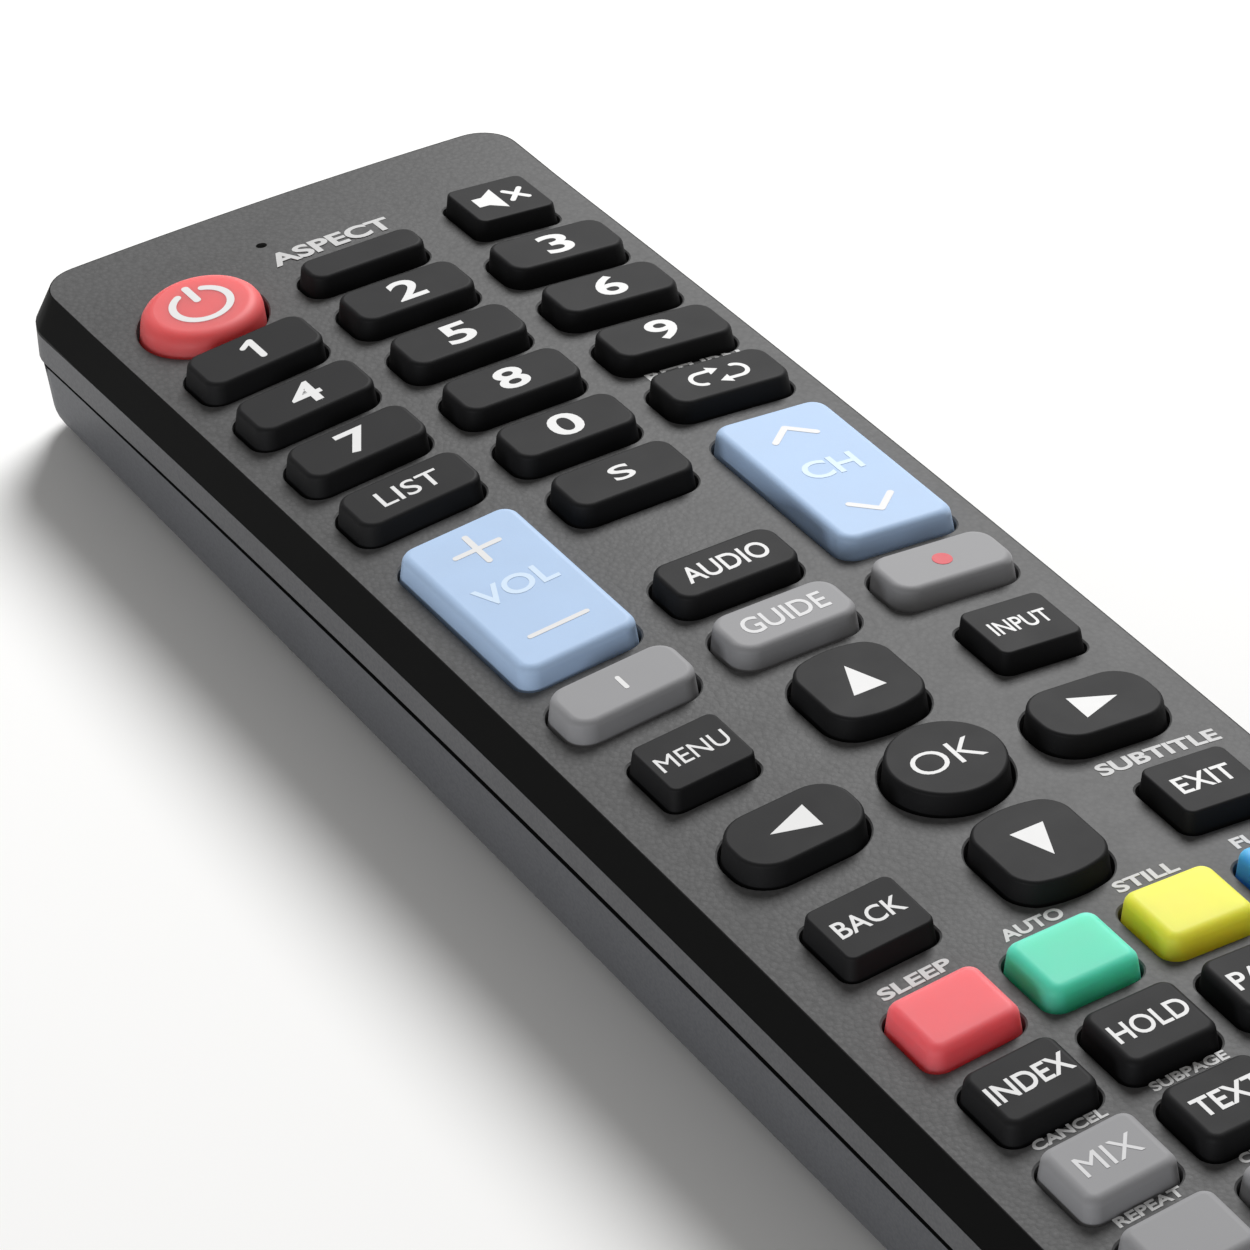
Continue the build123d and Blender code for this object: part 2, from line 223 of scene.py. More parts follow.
def soften(piece, width, segments, angle):
    """Rounds every edge that turns by more than an angle."""
    modify(piece, "BEVEL", width=width, segments=segments, limit_method="ANGLE", angle_limit=radians(angle))


def block(name, size, centre):
    """A plain block to start from."""
    clear_selection()
    bpy.ops.mesh.primitive_cube_add(size=1, location=centre)
    piece = bpy.context.object
    piece.name = name
    piece.scale = size
    return settle(piece)


def disc(name, radius, depth, centre, steps=64):
    """A round bar to start from."""
    clear_selection()
    bpy.ops.mesh.primitive_cylinder_add(vertices=steps, radius=radius, depth=depth, location=centre)
    piece = bpy.context.object
    piece.name = name
    return settle(piece)


def upright(edge):
    """True for an edge that runs straight up."""
    a, b = (v.co for v in edge.verts)
    return abs(a.x - b.x) < 1e-6 and abs(a.y - b.y) < 1e-6


def faces_up(face):
    return face.normal.z > 0.9


def faces_down(face):
    return face.normal.z < -0.9


def arch(y):
    """Drop of every long line of the case towards its two ends."""
    return sqrt(arch_radius**2 - (y - arch_centre) ** 2) - arch_radius


def fuse(pieces):
    """Makes one whole piece of several that overlap."""
    for piece in pieces[1:]:
        cut(pieces[0], piece, "UNION")
    return pieces[0]


def crowned(x, y):
    """Height of the evenly crowned face at one place."""
    along = crown_radius + arch(y)
    return face_height - crown_radius + sqrt(along**2 - x**2)


def surface(x, y):
    """Height of the face at one place. Its crown fades near the far end."""
    fade = crown_fade * min(1, max(0, (y - fade_start) / fade_length))
    return crowned(x, y) - fade * (crowned(x, y) - crowned(level_side, y))


def join_up(pieces):
    """Makes one piece of several."""
    take(pieces[0])
    for piece in pieces[1:]:
        piece.select_set(True)
    bpy.ops.object.join()
    return pieces[0]


class Wire:
    """A shader socket that can stand in a sum."""

    def __init__(self, finish, socket):
        self.finish = finish
        self.socket = socket

    def math(self, operation, first, second):
        made = self.finish.node("ShaderNodeMath", {"operation": operation}, {0: first, 1: second})
        return made.out(0)

    def __add__(self, other):
        return self.math("ADD", self, other)

    def __radd__(self, other):
        return self.math("ADD", other, self)

    def __rsub__(self, other):
        return self.math("SUBTRACT", other, self)

    def __rmul__(self, other):
        return self.math("MULTIPLY", other, self)


class Box:
    """A shader node with its outputs as wires."""

    def __init__(self, finish, node):
        self.finish = finish
        self.node = node

    def out(self, name):
        return Wire(self.finish, self.node.outputs[name])


class Finish:
    """One procedural material, built round a Principled shader."""

    def __init__(self, name, values):
        self.material = bpy.data.materials.new(name)
        self.material.use_nodes = True
        self.tree = self.material.node_tree
        self.shader = self.tree.nodes["Principled BSDF"]
        self.place = self.node("ShaderNodeTexCoord").out("Object")
        for label, value in values.items():
            self.set(label, value)

    def node(self, kind, settings=None, inputs=None):
        """Adds a node, sets its settings first and then feeds its sockets."""
        made = self.tree.nodes.new(kind)
        for name, value in (settings or {}).items():
            if name == "stops":
                self.ramp(made.color_ramp, value)
            else:
                setattr(made, name, value)
        for name, value in (inputs or {}).items():
            self.feed(made.inputs[name], value)
        return Box(self, made)

    def ramp(self, ramp, stops):
        """Sets a ramp's stops from pairs of place and colour."""
        for n, (place, colour) in enumerate(stops):
            stop = ramp.elements[n] if n < 2 else ramp.elements.new(place)
            stop.position = place
            stop.color = colour

    def feed(self, socket, value):
        if isinstance(value, Wire):
            self.tree.links.new(value.socket, socket)
        else:
            socket.default_value = value

    def set(self, label, value):
        """Sets or feeds one socket of the main shader."""
        if label.endswith("Color") and not isinstance(value, Wire):
            value = (*value, 1)
        self.feed(self.shader.inputs[label], value)

    def noise(self, size, detail=2.0, roughness=0.5):
        """Noise whose blobs are about a given size across."""
        inputs = {"Vector": self.place, "Scale": 1 / size, "Detail": detail, "Roughness": roughness}
        return self.node("ShaderNodeTexNoise", {}, inputs).out(0)

    def cells(self, size):
        """Small pebbles of about a given size, high in their middles."""
        inputs = {"Vector": self.place, "Scale": 1 / size}
        return 1 - self.node("ShaderNodeTexVoronoi", {"feature": "F1"}, inputs).out(0)

    def spread(self, wire, low, high):
        """Stretches the middle of a noise to the full range."""
        stops = [(low, (0, 0, 0, 1)), (high, (1, 1, 1, 1))]
        return self.node("ShaderNodeValToRGB", {"stops": stops}, {0: wire}).out(0)

    def mix(self, share, first, second):
        """One colour turning into another."""
        inputs = {"Factor": share, 6: (*first, 1), 7: (*second, 1)}
        return self.node("ShaderNodeMix", {"data_type": "RGBA"}, inputs).out(2)

    def bump(self, height, depth):
        """Relief of a given depth in metres."""
        inputs = {"Strength": 1.0, "Distance": depth, "Height": height}
        self.set("Normal", self.node("ShaderNodeBump", {}, inputs).out(0))


def shade(colour, share):
    """A colour made lighter or darker."""
    return tuple(min(1.0, share * c) for c in colour)


def grained_plastic(name, colour, grain, depth, roughness=0.55):
    """Moulded plastic with a leathery grain, darker in its valleys."""
    finish = Finish(name, {"Specular IOR Level": 0.2})
    pebbles = finish.cells(grain)
    fine = finish.noise(0.45 * grain, 3.0, 0.65)
    broad = finish.noise(5 * mm, 3.0)
    relief = 0.6 * pebbles + 0.4 * fine
    valley, ridge = 0.36, 0.66
    tone = finish.spread(0.7 * relief + 0.3 * broad, valley, ridge)
    finish.set("Base Color", finish.mix(tone, shade(colour, 0.88), shade(colour, 1.12)))
    finish.set("Roughness", roughness - 0.06 + 0.12 * broad)
    finish.bump(relief, depth)
    return finish.material


def key_plastic(name, colour, roughness, milk=0.0, sheen_level=0.5):
    """Smooth satin key plastic; milk gives the cloudy look of the coloured keys."""
    finish = Finish(name, {"Subsurface Weight": milk, "Subsurface Scale": 4 * mm, "Specular IOR Level": sheen_level})
    finish.shader.inputs["Subsurface Radius"].default_value = (1.0, 0.85, 0.8)
    broad = finish.noise(4 * mm, 3.0)
    fine = finish.noise(0.14 * mm, 2.0)
    finish.set("Base Color", finish.mix(broad, shade(colour, 0.94), shade(colour, 1.06)))
    finish.set("Roughness", roughness - 0.04 + 0.08 * broad)
    finish.bump(fine, 0.004 * mm)
    return finish.material


def gloss_plastic(name, colour, roughness, values=None):
    """Half gloss plastic with faint handling marks."""
    finish = Finish(name, values or {})
    broad = finish.noise(9 * mm, 4.0)
    fine = finish.noise(0.5 * mm, 3.0)
    finish.set("Base Color", finish.mix(broad, shade(colour, 0.85), shade(colour, 1.15)))
    finish.set("Roughness", roughness - 0.04 + 0.08 * broad)
    finish.bump(fine, 0.002 * mm)
    return finish.material


def ink(name, colour):
    """Printed ink, slightly uneven."""
    finish = Finish(name, {"Specular IOR Level": 0.4})
    broad = finish.noise(0.7 * mm, 3.0)
    finish.set("Base Color", finish.mix(broad, shade(colour, 0.93), colour))
    finish.set("Roughness", 0.5 + 0.1 * broad)
    return finish.material


def metal(name, colour, roughness=0.3):
    """Plated or drawn metal with fine streaks."""
    finish = Finish(name, {"Metallic": 1.0})
    broad = finish.noise(3 * mm, 4.0)
    fine = finish.noise(0.2 * mm, 2.0)
    finish.set("Base Color", finish.mix(broad, shade(colour, 0.85), colour))
    finish.set("Roughness", roughness - 0.08 + 0.16 * broad)
    finish.bump(fine, 0.003 * mm)
    return finish.material


face_grey = grained_plastic("face_grey", (0.081, 0.081, 0.082), 0.5 * mm, 0.035 * mm)
# Painted light: the strip is one moulding with the face, and its grey is set lighter than the face's to make up for
# the light that the side takes less of than the top
strip_grey_painted_lighter = grained_plastic("strip_grey_painted_lighter", (0.109, 0.11, 0.115), 0.3 * mm, 0.004 * mm, 0.5)
shell_grey = grained_plastic("shell_grey", (0.104, 0.107, 0.115), 0.3 * mm, 0.005 * mm, 0.5)
frame_black = gloss_plastic("frame_black", (0.0035, 0.0036, 0.0036), 0.5, {"Specular IOR Level": 0.04})
window_dark = gloss_plastic("window_dark", (0.02, 0.004, 0.008), 0.3, {"Specular IOR Level": 0.35})
key_black = key_plastic("key_black", (0.0122, 0.0122, 0.013), 0.62, sheen_level=0.14)
key_grey = key_plastic("key_grey", (0.3, 0.3, 0.31), 0.62, sheen_level=0.25)
power_red = key_plastic("power_red", (0.76, 0.1, 0.105), 0.58, 0.8)
rocker_blue = key_plastic("rocker_blue", (0.43, 0.58, 0.81), 0.6, 0.05, 0.3)
key_red = key_plastic("key_red", (0.88, 0.11, 0.13), 0.62, 1.0)
key_green = key_plastic("key_green", (0.09, 0.7, 0.47), 0.62, 1.0)
key_yellow = key_plastic("key_yellow", (0.95, 0.84, 0.06), 0.62, 1.0)
key_blue = key_plastic("key_blue", (0.06, 0.38, 0.85), 0.62, 1.0)
ink_white = ink("ink_white", (0.76, 0.76, 0.76))
ink_soft = ink("ink_soft", (0.66, 0.66, 0.67))
ink_faint = ink("ink_faint", (0.62, 0.76, 0.92))
ink_pale = ink("ink_pale", (0.56, 0.56, 0.56))
ink_red = ink("ink_red", (0.62, 0.012, 0.03))
web_rubber = key_plastic("web_rubber", (0.2, 0.2, 0.21), 0.7)
board_green = gloss_plastic("board_green", (0.03, 0.16, 0.06), 0.35)
led_tint = gloss_plastic("led_tint", (0.25, 0.27, 0.42), 0.15)
lamp_red = gloss_plastic("lamp_red", (0.5, 0.04, 0.03), 0.2)
plated_steel = metal("plated_steel", (0.62, 0.61, 0.58))
screw_steel = metal("screw_steel", (0.42, 0.42, 0.43))
cell_sleeve = gloss_plastic("cell_sleeve", (0.03, 0.034, 0.045), 0.3)
cell_band = metal("cell_band", (0.62, 0.42, 0.2), 0.35)


def dress(piece, material, body, slot, *replaced):
    """Gives a finished piece its material and its body, and hides the node that it stands for. The slot is not used.
    """
    piece.data.materials.clear()
    piece.data.materials.append(material)
    take(piece)
    bpy.ops.object.shade_smooth_by_angle(angle=crease_angle)
    modify(piece, "WEIGHTED_NORMAL", keep_sharp=True)
    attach(piece, body)
    if replaced:
        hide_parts(*replaced)


def smooth_copy(node, name):
    """A joined up copy of a case part whose flat faces are whole, so that its curves shade smoothly."""
    piece = add_object(name, nodes[node].data.copy())
    with shaping(piece):
        bpy.ops.mesh.select_all(action="SELECT")
        bpy.ops.mesh.remove_doubles(threshold=0.002 * mm)
        bpy.ops.mesh.dissolve_limited(angle_limit=radians(0.3))
    return piece


def plate(name, inset, low, high):
    """The case's outline from above, drawn in by an inset, between two heights."""
    size = (case_width - 2 * inset, case_length - 2 * inset, high - low)
    piece = block(name, size, (0, 0, (low + high) / 2))
    for near, radius in ((True, corner_near), (False, corner_far)):
        with shaping(piece):
            pick(piece, "EDGE", lambda e: upright(e) and (e.verts[0].co.y < 0) == near)
            bpy.ops.mesh.bevel(offset=radius - inset, segments=10, affect="EDGES")
    return piece


def slice_up(piece, across=True):
    """Cuts a piece at even steps, so that it can bend with the case."""
    with shaping(piece):
        for n in range(-steps_each_way, steps_each_way + 1):
            slice_at((0, n * step_along, 0), (0, 1, 0))
        for y in far_cuts:
            slice_at((0, y, 0), (0, 1, 0))
        if across:
            for n in range(-steps_each_side, steps_each_side + 1):
                slice_at((n * step_across, 0, 0), (1, 0, 0))


def bend(piece, crowned_above):
    """Gives a piece the case's long arch, and the crown too above a height."""
    for vertex in piece.data.vertices:
        x, y, z = vertex.co
        vertex.co.z += surface(x, y) - face_height if z > crowned_above else arch(y)
    return piece


def face_shell():
    """Upper half of the case: the grey strip, the crowned face and the hollow under it."""
    shell = plate("face_shell", 0, parting_height + groove_above, band_height)
    with shaping(shell):
        pick(shell, "FACE", faces_up)
        bpy.ops.mesh.inset(thickness=frame_width)
        draw_out(face_height - band_height)
    slice_up(shell)
    bend(shell, band_height + mm)
    hollow = plate("hollow", upper_wall, parting_height - 2 * mm, face_height - skin)
    slice_up(hollow)
    cut(shell, bend(hollow, band_height + mm))
    cut(shell, disc("pin_hole", pin_hole_radius, 8 * mm, (*pin_hole, face_height), 24))
    return shell


def face_frame():
    """Black frame round the face: a narrow flat edge, a steep bevel and a short upright foot."""
    ring = plate("face_frame", 0, band_height, face_height - frame_drop)
    with shaping(ring):
        pick(ring, "FACE", faces_up)
        bpy.ops.mesh.inset(thickness=frame_slope)
        bpy.ops.transform.translate(value=(0, 0, frame_drop))
        bpy.ops.mesh.inset(thickness=frame_rim)
    slice_up(ring)
    cut(ring, plate("core", frame_width, band_height - mm, face_height + mm))
    soften(ring, frame_rounding, 4, 20)
    return bend(ring, band_height + 0.5 * mm)


def key_blank(kind, low, high, margin=0.0):
    """A key's outline round the origin, with an even margin, between two heights."""
    w, d, corner = (value * mm for value in outlines[kind][:3])
    w, d, corner = w + 2 * margin, d + 2 * margin, corner + margin
    if kind in ("power", "ok"):
        return disc(kind, corner, high - low, (0, 0, (low + high) / 2), 72)
    blank = block(kind, (w, d, high - low), (0, 0, (low + high) / 2))
    with shaping(blank):
        pick(blank, "EDGE", upright)
        bpy.ops.mesh.bevel(offset=corner, segments=9, affect="EDGES")
    if kind == "bowed":
        bow_ends(blank, w)
    return blank


def bow_ends(blank, w):
    """Rounds the two ends of an arrow key outwards, with the corners drawn back."""
    step = 0.07 * w
    with shaping(blank):
        for n in range(-4, 5):
            slice_at((n * step, 0, 0), (1, 0, 0))
    for vertex in blank.data.vertices:
        across = vertex.co.x / (w / 2)
        vertex.co.y -= (1 if vertex.co.y > 0 else -1) * bow * across**2


def grow(kind, spread):
    """Widens what is selected by an even amount all round."""
    w, d = (value * mm for value in outlines[kind][:2])
    bpy.ops.transform.resize(value=(1 + spread / w, 1 + spread / d, 1), center_override=(0, 0, 0))


def opening_form(kind):
    """Cutter for the opening of one kind of key: upright walls and a small chamfer at the face."""
    lead, above = 0.12 * mm, 0.5 * mm
    tool = key_blank(kind, -opening_depth, -lead, key_gap)
    with shaping(tool):
        pick(tool, "FACE", faces_up)
        draw_out(lead + above)
        grow(kind, 2 * (lead + above))
    return tool


def key_form(kind):
    """One kind of key, its top at height zero: drafted sides, a rounded top edge and a plunger."""
    form = key_blank(kind, -key_depth, 0)
    with shaping(form):
        pick(form, "FACE", faces_down)
        grow(kind, 2 * key_depth * tan(key_draft))
        draw_out(-plunger_step)
        bpy.ops.transform.resize(value=plunger_share, center_override=(0, 0, 0))
        draw_out(-plunger_length)
        pick(form, "FACE", lambda f: faces_up(f) and f.calc_center_median().z > -hair)
        bpy.ops.mesh.region_to_loop()
        bpy.ops.mesh.bevel(offset=outlines[kind][3] * mm, segments=5, affect="EDGES", profile=0.5)
    return form


def copy_of(form, name):
    """A copy with its own mesh."""
    return add_object(name, form.data.copy())


def key_top(x, y):
    """Height and slopes of the flat top of the key at one place."""
    return surface(x, y) + key_height, (x / crown_radius, (y - arch_centre) / arch_radius)


def place_key(form, name, kind, x, y):
    """A copy of a key at its own place, its top tilted with the face."""
    piece = copy_of(form, name)
    top, slopes = key_top(x, y)
    below_rounding = -1.3 * outlines[kind][3] * mm
    for vertex in piece.data.vertices:
        if vertex.co.z > below_rounding:
            vertex.co.z -= slopes[0] * vertex.co.x + slopes[1] * vertex.co.y
        vertex.co += Vector((x, y, top))
    return piece


def place_opening(form, x, y):
    """A copy of an opening at its own place, following the crowned face."""
    piece = copy_of(form, "opening")
    for vertex in piece.data.vertices:
        px, py = vertex.co.x + x, vertex.co.y + y
        vertex.co = (px, py, vertex.co.z + surface(px, py))
    return piece


def seat_sign(piece, height_of):
    """Lays a flat sign on a surface, each point at the height below it."""
    for vertex in piece.data.vertices:
        vertex.co.z += height_of(vertex.co.x, vertex.co.y) + sign_lift
    return piece


def lettering(letters, height, width, weight):
    """Flat letters with a given capital height and overall width, centred.
    Words with an M or W keep the plain stroke, because a wider one fills their notches."""
    clear_selection()
    bpy.ops.object.text_add()
    text = bpy.context.object
    text.data.body = letters
    text.data.size = height / capital_share
    text.data.offset = 0 if "M" in letters or "W" in letters else weight
    text.data.resolution_u = 5
    text.data.extrude = sign_thickness / 2
    take(text)
    bpy.ops.object.convert(target="MESH")
    piece = bpy.context.object
    middle = sum((Vector(corner) for corner in piece.bound_box), Vector()) / 8
    stretch = width / piece.dimensions.x
    piece.data.transform(Matrix.Diagonal((stretch, 1, 1, 1)) @ Matrix.Translation(-middle))
    return piece


def bar(ends, width):
    """A flat stroke with round ends."""
    (ax, ay), (bx, by) = ends
    length = hypot(bx - ax, by - ay) + width
    piece = block("stroke", (length, width, sign_thickness), (0, 0, 0))
    with shaping(piece):
        pick(piece, "EDGE", upright)
        bpy.ops.mesh.bevel(offset=0.499 * width, segments=6, affect="EDGES")
    turn = Matrix.Rotation(atan2(by - ay, bx - ax), 4, "Z")
    piece.data.transform(Matrix.Translation(((ax + bx) / 2, (ay + by) / 2, 0)) @ turn)
    return piece


def arc(centre, radius, start, end, width):
    """A straight stroke curled round a centre, between two angles in degrees."""
    length = radius * radians(end - start)
    piece = bar(((0, 0), (length, 0)), width)
    steps = int((end - start) / 8)
    with shaping(piece):
        for n in range(steps + 1):
            slice_at((n * length / steps, 0, 0), (1, 0, 0))
    for vertex in piece.data.vertices:
        angle = radians(start) + vertex.co.x / radius
        reach = radius - vertex.co.y
        vertex.co = (centre[0] + reach * cos(angle), centre[1] + reach * sin(angle), vertex.co.z)
    return piece


def wedge(*points):
    """A flat filled shape from its corners in millimetres."""
    clear_selection()
    bpy.ops.mesh.primitive_circle_add(vertices=len(points), radius=1 * mm, fill_type="NGON")
    piece = bpy.context.object
    for vertex, (x, y) in zip(piece.data.vertices, points):
        vertex.co = (x * mm, y * mm, -sign_thickness / 2)
    with shaping(piece):
        bpy.ops.mesh.select_all(action="SELECT")
        draw_out(sign_thickness)
        bpy.ops.mesh.select_all(action="SELECT")
        bpy.ops.mesh.normals_make_consistent(inside=False)
    return piece


def power_sign():
    """A ring that is open at its top, with a bar in the gap."""
    stroke = 0.68 * mm
    ring = arc((0, -0.1 * mm), 2.55 * mm, 118, 422, stroke)
    return join_up([ring, bar(((0, 0.7 * mm), (0, 3.0 * mm)), stroke)])


def plus_sign():
    """Two crossed strokes."""
    arm, stroke = 2.0 * mm, 0.55 * mm
    return fuse([bar(((-arm, 0), (arm, 0)), stroke), bar(((0, -arm), (0, arm)), stroke)])


def minus_sign():
    """One level stroke."""
    return bar(((-2.6 * mm, 0), (2.6 * mm, 0)), 0.5 * mm)


def chevron(way):
    """An open arrow that points up or down."""
    tip = way * 0.9 * mm
    sides = [bar(((side * 2.0 * mm, -tip), (0, tip)), 0.6 * mm) for side in (-1, 1)]
    return fuse(sides)


def arrow(dx, dy):
    """A filled triangle that points one way."""
    ahead, behind, half = 2.1, 1.7, 1.5
    tip = (dx * ahead, dy * ahead)
    left = (-dx * behind - dy * half, -dy * behind + dx * half)
    right = (-dx * behind + dy * half, -dy * behind - dx * half)
    return wedge(tip, left, right)


def mute_sign():
    """A loudspeaker with a cross beside it."""
    cone = wedge((-2.5, 0.8), (-2.5, -0.8), (-1.5, -0.8), (-0.1, -1.9), (-0.1, 1.9), (-1.5, 0.8))
    cross = [bar(((0.8 * mm, s * 0.9 * mm), (2.4 * mm, -s * 0.9 * mm)), 0.5 * mm) for s in (-1, 1)]
    return join_up([cone, fuse(cross)])


def return_sign():
    """A flat loop with an arrow head on each run."""
    side, radius, stroke = 1.7 * mm, 0.95 * mm, 0.42 * mm
    left = arc((-side, 0), radius, 90, 270, stroke)
    right = arc((side, 0), radius, -90, 90, stroke)
    top = bar(((-side, radius), (-0.5 * mm, radius)), stroke)
    bottom = bar(((0.5 * mm, -radius), (side, -radius)), stroke)
    head = wedge((0.4, 0.95), (-0.6, 1.6), (-0.6, 0.3))
    other = wedge((-0.4, -0.95), (0.6, -1.6), (0.6, -0.3))
    return fuse([left, top, head, right, bottom, other])


def one_sign():
    """The figure one, with its flag."""
    stem = bar(((0.2 * mm, -1.35 * mm), (0.2 * mm, 1.35 * mm)), 0.62 * mm)
    return fuse([stem, bar(((-0.75 * mm, 0.72 * mm), (0.12 * mm, 1.35 * mm)), 0.55 * mm)])


def info_sign():
    """A short upright stroke."""
    return bar(((0, -0.75 * mm), (0, 0.75 * mm)), 0.4 * mm)


def dot_sign():
    """A round dot."""
    return disc("record_dot", 0.85 * mm, sign_thickness, (0, 0, 0), 24)


def add_sign(name, sign, body, x, y, dy=0.0, material=None):
    """Seats a sign on a key's top and lets it ride with the key."""
    top, slopes = key_top(x, y)
    sign.data.transform(Matrix.Translation((x, y + dy, 0)))
    seat_sign(sign, lambda px, py: top - slopes[0] * (px - x) - slopes[1] * (py - y))
    sign.name = name
    dress(sign, material or ink_white, body, "key_black")


# Words on keys: letters, capital height, overall width, stroke weight, all in millimetres
words = {
    "list_key": ("LIST", 2.3, 5.8, 0.01),
    "audio_key": ("AUDIO", 2.3, 7.8, 0.04),
    "guide_key": ("GUIDE", 2.3, 7.7, 0.04),
    "menu_key": ("MENU", 2.0, 6.2, 0.03),
    "input_key": ("INPUT", 1.9, 5.4, 0.03),
    "back_key": ("BACK", 2.0, 5.8, 0.03),
    "exit_key": ("EXIT", 2.1, 5.2, 0.04),
    "ok_key": ("OK", 3.0, 6.0, -0.02),
    "select_key": ("S", 2.2, 2.0, 0.04),
    "index_key": ("INDEX", 2.1, 6.8, 0.05),
    "hold_key": ("HOLD", 2.1, 6.4, 0.04),
    "page_key": ("PAGE", 2.1, 6.2, 0.04),
    "reveal_key": ("SHOW", 2.1, 6.3, 0.04),
    "mix_key": ("MIX", 2.3, 4.9, 0.04),
    "text_key": ("TEXT", 2.1, 5.9, 0.05),
    "size_key": ("SIZE", 2.1, 5.3, 0.04),
    "mode_key": ("MODE", 2.1, 6.4, 0.04),
}
for n in range(2, 10):
    words[f"key_{n}"] = (str(n), 3.3, 2.8, 0.09)
words["key_0"] = ("0", 3.3, 3.0, 0.09)

# Words on the face: letters, overall width, x and y of their middle, capital height, all in millimetres
face_words = [
    ("ASPECT", 12.0, 0.1, 99.5, 2.3),
    ("RETURN", 9.4, 15.6, 63.15, 1.15),
    ("SUBTITLE", 11.2, 15.6, -5.0, 1.5),
    ("SLEEP", 6.2, -15.2, -17.9, 1.3),
    ("AUTO", 5.4, -4.9, -17.9, 1.3),
    ("STILL", 5.6, 5.4, -17.9, 1.3),
    ("FULL", 4.8, 15.8, -17.9, 1.3),
    ("CANCEL", 6.2, -15.3, -38.0, 1.0),
    ("SUBPAGE", 6.6, -4.9, -38.0, 1.0),
    ("REVEAL", 6.0, 5.4, -38.0, 1.0),
    ("UPDATE", 6.0, 15.8, -38.0, 1.0),
    ("REPEAT", 5.6, -15.3, -47.85, 1.0),
    ("CLOCK", 5.2, -4.9, -47.85, 1.0),
    ("SCREEN", 6.0, 5.4, -47.85, 1.0),
    ("SOUND", 5.4, 15.8, -47.85, 1.0),
]

# Every key's kind of outline, material and slot
finishes = {
    "power_key": ("power", power_red, "power_red"),
    "volume_rocker": ("rocker", rocker_blue, "rocker_blue"),
    "channel_rocker": ("rocker", rocker_blue, "rocker_blue"),
    "red_key": ("cushion", key_red, "key_red"),
    "green_key": ("cushion", key_green, "key_green"),
    "yellow_key": ("cushion", key_yellow, "key_yellow"),
    "blue_key": ("cushion", key_blue, "key_blue"),
}
black_kinds = {
    "ok": "ok",
    "slim": "aspect",
    "square": "mute menu input back exit",
    "bowed": "up down",
    "side": "left right",
    "grid": "index hold page reveal text size mode",
    "number": "list return select audio",
}
for kind, names in black_kinds.items():
    for name in names.split():
        finishes[f"{name}_key"] = (kind, key_black, "key_black")
for n in range(10):
    finishes[f"key_{n}"] = ("number", key_black, "key_black")
for name in "mix grey_1 grey_2 grey_3 grey_4".split():
    finishes[f"{name}_key"] = ("cushion", key_grey, "key_grey")
for name in "info guide record".split():
    finishes[f"{name}_key"] = ("soft", key_grey, "key_grey")

# Keys that carry a drawn sign
signs = {
    "power_key": power_sign,
    "mute_key": mute_sign,
    "return_key": return_sign,
    "key_1": one_sign,
    "info_key": info_sign,
    "up_key": lambda: arrow(0, 1),
    "down_key": lambda: arrow(0, -1),
    "left_key": lambda: arrow(-1, 0),
    "right_key": lambda: arrow(1, 0),
}


def middle_of(node):
    """Place of a key's middle, seen from above."""
    low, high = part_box(node)
    return (low.x + high.x) / 2, (low.y + high.y) / 2


def rocker_signs(name, first, letters, last):
    """The sign at each end of a rocker and the faint letters between them."""
    x, y = middle_of(name)
    far, middle, near = 6.4 * mm, 0.2 * mm, -6.6 * mm
    add_sign(f"{name}_far_sign", first, name, x, y, far)
    add_sign(f"{name}_letters", letters, name, x, y, middle, ink_faint)
    add_sign(f"{name}_near_sign", last, name, x, y, near)


def build_keys():
    """Models every key over its CAD node, with its sign."""
    forms = {kind: key_form(kind) for kind in outlines}
    for name, (kind, material, slot) in finishes.items():
        x, y = middle_of(name)
        dress(place_key(forms[kind], f"{name}_cap", kind, x, y), material, name, slot, name)
        if name in words:
            letters, height, width, weight = words[name]
            sign = lettering(letters, height * mm, width * mm, weight * mm)
            add_sign(f"{name}_letters", sign, name, x, y, 0.0, ink_soft if material == key_grey else ink_white)
        if name in signs:
            add_sign(f"{name}_sign", signs[name](), name, x, y)
    for form in forms.values():
        bpy.data.objects.remove(form)
    x, y = middle_of("record_key")
    add_sign("record_key_dot", dot_sign(), "record_key", x, y, material=ink_red)
    height, weight = 2.7 * mm, 0.07 * mm
    rocker_signs("volume_rocker", plus_sign(), lettering("VOL", height, 7.0 * mm, weight), minus_sign())
    rocker_signs("channel_rocker", chevron(1), lettering("CH", height, 5.2 * mm, weight), chevron(-1))


def build_face():
    """The face with its 47 openings, its print, and the black frame round it."""
    shell = face_shell()
    forms = {kind: opening_form(kind) for kind in outlines}
    cut(shell, join_up([place_opening(forms[kind], *middle_of(name)) for name, (kind, _, _) in finishes.items()]))
    for form in forms.values():
        bpy.data.objects.remove(form)
    dress(shell, face_grey, "case", "face_grey", "upper_case")
    # The strip below the frame gets the lighter grey, which is painted light for the side
    shell.data.materials.append(strip_grey_painted_lighter)
    for face in shell.data.polygons:
        face.material_index = int(face.center.z < band_height + arch(face.center.y) - hair)
    dress(face_frame(), frame_black, "case", "frame_black", "bevel_frame")
    for text, width, x, y, height in face_words:
        sign = lettering(text, height * mm, width * mm, print_weight * height * mm)
        sign.data.transform(Matrix.Translation((x * mm, y * mm, 0)))
        sign.name = f"print_{text.lower()}"
        dress(seat_sign(sign, surface), ink_pale, "case", "face_grey")


